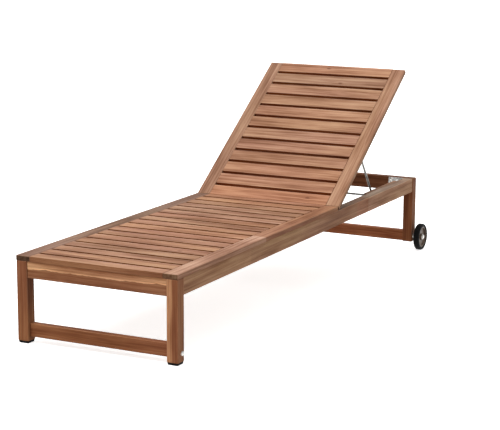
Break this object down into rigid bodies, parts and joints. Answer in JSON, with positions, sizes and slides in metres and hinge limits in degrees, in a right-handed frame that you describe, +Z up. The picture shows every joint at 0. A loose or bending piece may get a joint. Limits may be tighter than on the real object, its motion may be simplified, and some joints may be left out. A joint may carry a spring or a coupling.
{
  "type": "reclining sun lounger",
  "caption": "Slatted wooden sun lounger on legs with a hinged reclining backrest held by a steel prop on notched racks, and two wheels at the head end.",
  "frame": {"origin": "centre of the bounding box in plan, on the floor", "axes": "+Z up, +X to the right seen from the foot end, +Y from the foot end to the head end"},
  "size_m": [0.6738, 2.0364, 0.7457],
  "materials": {
    "wood": "oiled hardwood with fine straight grain",
    "steel": "galvanised, dull",
    "tyre": "matt black rubber",
    "hub": "moulded grey-brown plastic",
    "rubber": "matt black"
  },
  "bodies": {
    "frame": {"front_leg_left": "wood", "front_leg_right": "wood", "rear_leg_left": "wood", "rear_leg_right": "wood", "side_rail_left": "wood", "side_rail_right": "wood", "front_apron": "wood", "rear_cross_rail": "wood", "middle_cross_rail": "wood", "front_stretcher": "wood", "rear_stretcher": "wood", "seat_ledgers": "wood", "deck_board_left": "wood", "deck_board_right": "wood", "seat_slat_01": "wood", "seat_slat_02": "wood", "seat_slat_03": "wood", "seat_slat_04": "wood", "seat_slat_05": "wood", "seat_slat_06": "wood", "seat_slat_07": "wood", "seat_slat_08": "wood", "seat_slat_09": "wood", "seat_slat_10": "wood", "seat_slat_11": "wood", "seat_slat_12": "wood", "seat_slat_13": "wood", "seat_slat_14": "wood", "seat_slat_15": "wood", "seat_slat_16": "wood", "seat_slat_17": "wood", "seat_slat_18": "wood", "prop_racks": "wood", "hinge_bolts": "steel", "wheel_axles": "steel", "leg_bolts": "steel", "glides": "rubber", "corner_brackets": "steel"},
    "backrest": {"back_stile_left": "wood", "back_stile_right": "wood", "back_slat_01": "wood", "back_slat_02": "wood", "back_slat_03": "wood", "back_slat_04": "wood", "back_slat_05": "wood", "back_slat_06": "wood", "back_slat_07": "wood", "back_slat_08": "wood", "back_slat_09": "wood", "back_slat_10": "wood", "back_slat_11": "wood", "back_slat_12": "wood", "back_bearers": "wood", "hinge_brackets": "steel", "prop_brackets": "steel"},
    "prop": {"prop_bail": "steel"},
    "wheel_left": {"tyre_left": "tyre", "hub_left": "hub"},
    "wheel_right": {"tyre_right": "tyre", "hub_right": "hub"}
  },
  "joints": [
    {"name": "backrest_tilt", "type": "hinge", "parent": "frame", "child": "backrest", "pos_m": [0, 0.19809, 0.26744], "axis": [1, 0, 0], "range_deg": [-34.4, 4]},
    {"name": "prop_swing", "type": "hinge", "parent": "backrest", "child": "prop", "pos_m": [0, 0.49573, 0.48464], "axis": [1, 0, 0], "range_deg": [-11, 86]},
    {"name": "wheel_left_spin", "type": "hinge", "parent": "frame", "child": "wheel_left", "pos_m": [-0.31, 0.96473, 0.0535], "axis": [1, 0, 0], "continuous": true},
    {"name": "wheel_right_spin", "type": "hinge", "parent": "frame", "child": "wheel_right", "pos_m": [0.31, 0.96473, 0.0535], "axis": [1, 0, 0], "continuous": true}
  ],
  "couplings": [
    {"joint": "prop_swing", "follows": "backrest_tilt", "ratio": -2.4755}
  ]
}
